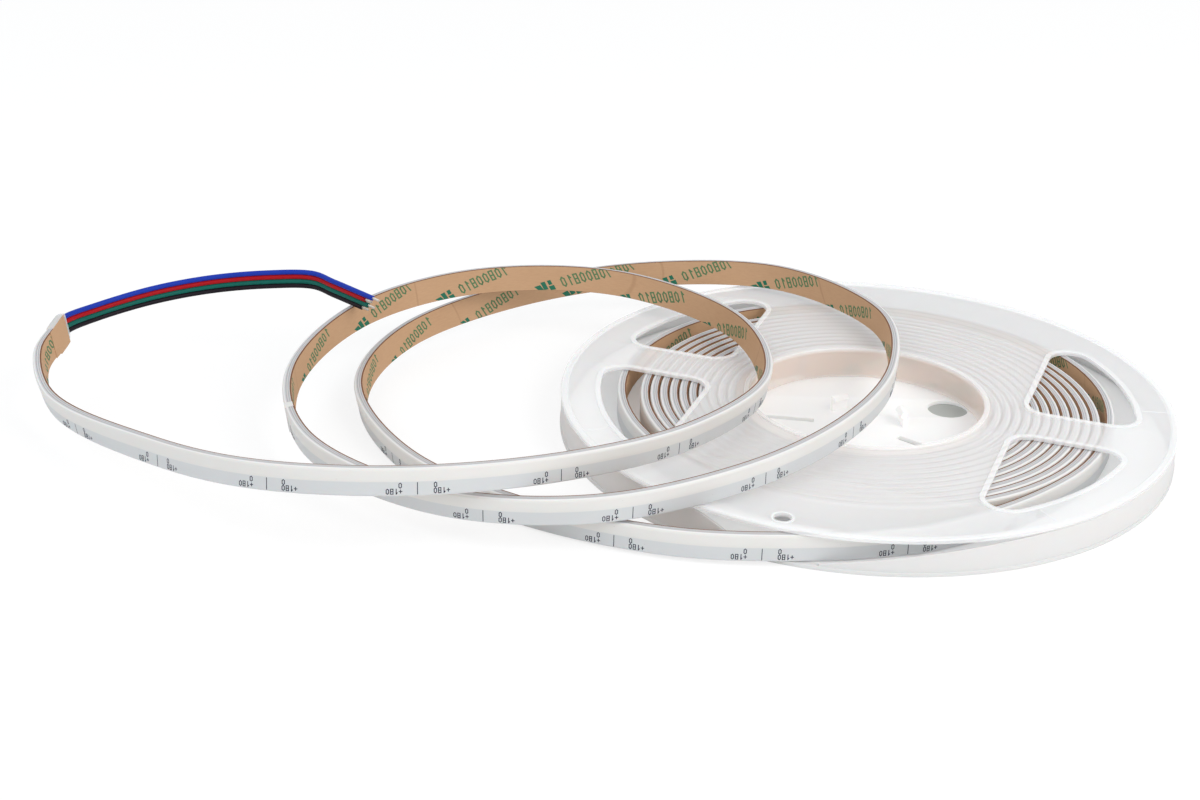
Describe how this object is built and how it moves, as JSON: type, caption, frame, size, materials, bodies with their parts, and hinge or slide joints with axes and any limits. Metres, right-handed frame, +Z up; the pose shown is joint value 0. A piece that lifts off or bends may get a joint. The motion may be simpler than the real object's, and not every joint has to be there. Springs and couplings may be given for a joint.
{
  "type": "led strip light reel",
  "caption": "Flat round plastic reel wound with a sleeved light strip, its free length lying in loose loops over the top and ending in a cap with wire leads.",
  "frame": {"origin": "centre of the reel's disc, on the face that it stands on", "axes": "+Z up along the reel's axis, +Y away from the side where the strip leaves the reel, -X towards the loose loops"},
  "size_m": [0.4255, 0.23, 0.0365],
  "materials": {
    "reel_plastic": "milky translucent moulded plastic",
    "sleeve": "matte white silicone",
    "liner_paper": "kraft paper liner",
    "cap_plastic": "milky silicone cap",
    "wire_blue": "satin wire insulation",
    "wire_red": "satin wire insulation",
    "wire_green": "satin wire insulation",
    "wire_black": "satin wire insulation",
    "tinned_copper": "tinned strands"
  },
  "bodies": {
    "root": {"reel_base": "reel_plastic", "reel_flange": "reel_plastic", "led_strip": "sleeve", "strip_liner": "liner_paper", "end_cap": "cap_plastic", "lead_blue": "wire_blue", "lead_red": "wire_red", "lead_green": "wire_green", "lead_black": "wire_black", "tip_blue": "tinned_copper", "tip_red": "tinned_copper", "tip_green": "tinned_copper", "tip_black": "tinned_copper"}
  },
  "joints": []
}
